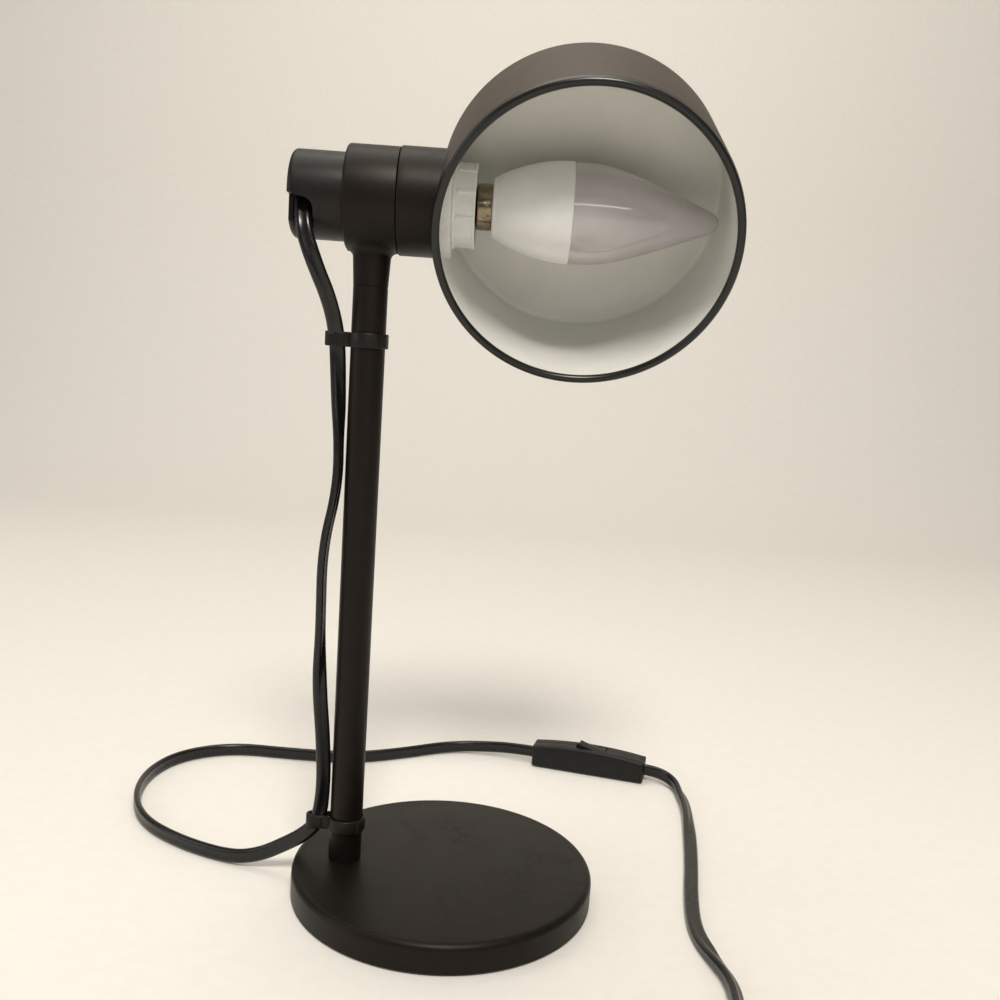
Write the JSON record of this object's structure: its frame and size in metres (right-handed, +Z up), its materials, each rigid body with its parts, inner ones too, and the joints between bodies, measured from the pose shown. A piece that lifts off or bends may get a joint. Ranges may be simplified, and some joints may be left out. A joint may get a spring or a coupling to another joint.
{
  "type": "desk lamp",
  "caption": "Desk lamp: round weighted base, upright stem, horizontal barrel carrying a tilting drum shade with a candle bulb, and a flat cord with an inline rocker switch.",
  "frame": {"origin": "centre of the base's underside, where the lamp stands", "axes": "+Z up the stem; +X along the barrel from the rear plug to the shade; -Y toward the side that the shade's opening looks to"},
  "size_m": [0.2741, 0.3207, 0.3323],
  "materials": {
    "black_powder_coat": "satin brown-black powder coat",
    "shade_paint": "satin brown-black outside, white enamel inside",
    "cast_weight": "as cast",
    "soft_pad": "fine foam",
    "zinc_steel": "zinc plated",
    "black_plastic": "satin moulded",
    "grey_plastic": "moulded",
    "fibre": "vulcanised fibre",
    "wire_insulation": "insulated wire",
    "white_plastic": "satin moulded",
    "brass": "bright",
    "cap_metal": "nickel-toned brass",
    "black_glass": "opaque glass",
    "frosted_plastic": "frosted translucent",
    "circuit_board": "laminate with components",
    "black_cord": "glossy flexible cord"
  },
  "bodies": {
    "stand": {"base_cover": "black_powder_coat", "base_weight": "cast_weight", "base_pad": "soft_pad", "stem_tube": "black_powder_coat", "stem_foot_stud": "zinc_steel", "foot_washer": "zinc_steel", "foot_nut": "zinc_steel", "stem_top_insert": "zinc_steel", "neck_nipple": "zinc_steel", "tee_housing": "black_powder_coat", "turn_stop_pin": "zinc_steel", "plug_set_screw": "zinc_steel", "rear_plug": "black_plastic", "cord_grip": "grey_plastic", "cord_grip_screws": "zinc_steel", "tee_wires": "wire_insulation", "friction_disc": "fibre", "friction_washer": "fibre", "upper_cord_clip": "black_plastic", "lower_cord_clip": "black_plastic", "cord_lamp_side": "black_cord", "cord_plug_side": "black_cord", "cord_tail": "black_cord", "cord_coil": "black_cord", "cord_tie": "black_plastic", "switch_front_shell": "black_plastic", "switch_back_shell": "black_plastic", "switch_contacts": "brass", "switch_case_screws": "zinc_steel", "plug_body": "black_cord", "plug_strain_relief": "black_cord", "plug_blades": "brass"},
    "shade": {"swivel_nipple": "zinc_steel", "swivel_sleeve": "black_powder_coat", "sleeve_nut": "zinc_steel", "swivel_nuts": "zinc_steel", "spring_washer": "zinc_steel", "shade_shell": "shade_paint", "holder_flange": "white_plastic", "shade_ring_nut": "white_plastic", "lamp_holder_body": "white_plastic", "holder_thread_shell": "brass", "holder_centre_contact": "brass", "holder_terminal_screws": "zinc_steel", "holder_wires": "wire_insulation"},
    "bulb": {"bulb_cap": "cap_metal", "bulb_insulator": "black_glass", "bulb_contact": "brass", "bulb_housing": "white_plastic", "bulb_diffuser": "frosted_plastic", "bulb_led_board": "circuit_board", "bulb_driver_board": "circuit_board"},
    "rocker": {"switch_rocker": "black_plastic"}
  },
  "joints": [
    {"name": "shade_tilt", "type": "hinge", "parent": "stand", "child": "shade", "pos_m": [-0.0406, 0, 0.2733], "axis": [1, 0, 0], "range_deg": [-150, 150]},
    {"name": "bulb_turn", "type": "hinge", "parent": "shade", "child": "bulb", "pos_m": [0.0377, 0, 0.2733], "axis": [1, 0, 0], "range_deg": [0, 360]},
    {"name": "switch_rocker_tilt", "type": "hinge", "parent": "stand", "child": "rocker", "pos_m": [0.07296, 0.13349, 0.0108], "axis": [0.2605, 0.9655, 0], "range_deg": [-20, 0]}
  ]
}
